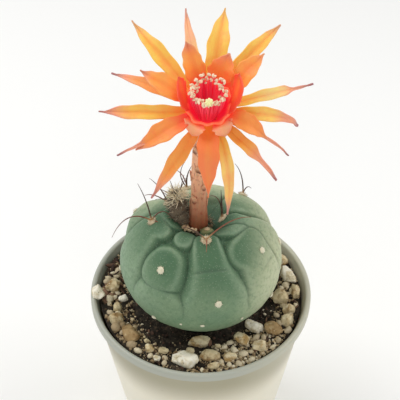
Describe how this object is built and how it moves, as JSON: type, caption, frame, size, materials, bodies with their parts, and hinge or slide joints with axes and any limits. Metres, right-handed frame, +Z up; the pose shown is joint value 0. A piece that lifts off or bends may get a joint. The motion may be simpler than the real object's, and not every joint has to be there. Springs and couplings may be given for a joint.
{
  "type": "potted flowering globular cactus",
  "caption": "Low grey-green globular cactus with broad tuberculate ribs and one tall orange flower, in a small round white nursery pot with soil and a gravel top dressing.",
  "frame": {"origin": "centre of the pot's flat underside", "axes": "+Z up along the pot's axis; the flower leans towards -Y; +X to the right as seen from the front"},
  "size_m": [0.055, 0.055, 0.129],
  "materials": {
    "pot_plastic": "thin moulded off-white plastic, slightly translucent, satin",
    "potting_soil": "dark peaty potting mix with bark bits and grit",
    "stem_skin": "matt grey-green skin, finely dotted, paler at the foot",
    "spine": "thin dark brown spines on cream wool",
    "wool": "cream and brown plant wool",
    "tube_skin": "salmon-brown, finely haired",
    "tepal": "orange to yellow, red at the throat, mauve at the tips, soft satin",
    "stamen": "crimson filaments with cream anthers",
    "stigma": "pale yellow-green",
    "stone_tan": "rough tan pumice gravel",
    "stone_brown": "rough brown lava gravel",
    "stone_cream": "rough cream pumice gravel",
    "stone_white": "rough off-white pumice gravel"
  },
  "bodies": {
    "root": {"pot": "pot_plastic", "soil": "potting_soil", "cactus_body": "stem_skin", "spines_left": "spine", "spines_front": "spine", "spines_back_right": "spine", "spines_right": "spine", "spines_back": "spine", "spines_back_left": "spine", "woolly_bud": "wool", "crown_wool": "wool", "flower_tube": "tube_skin", "perianth": "tepal", "stamens": "stamen", "style": "stigma", "stone_01": "stone_tan", "stone_02": "stone_white", "stone_03": "stone_tan", "stone_04": "stone_tan", "stone_05": "stone_brown", "stone_06": "stone_tan", "stone_07": "stone_cream", "stone_08": "stone_tan", "stone_09": "stone_white", "stone_10": "stone_cream", "stone_11": "stone_cream", "stone_12": "stone_white", "stone_13": "stone_tan", "stone_14": "stone_tan", "stone_15": "stone_tan", "stone_16": "stone_cream", "stone_17": "stone_cream", "stone_18": "stone_white", "stone_19": "stone_brown", "stone_20": "stone_cream", "stone_21": "stone_cream", "stone_22": "stone_tan", "stone_23": "stone_tan", "stone_24": "stone_tan", "stone_25": "stone_white", "stone_26": "stone_tan", "stone_27": "stone_cream", "stone_28": "stone_tan", "stone_29": "stone_cream", "stone_30": "stone_tan", "stone_31": "stone_white", "stone_32": "stone_tan", "stone_33": "stone_cream", "stone_34": "stone_white"}
  },
  "joints": []
}
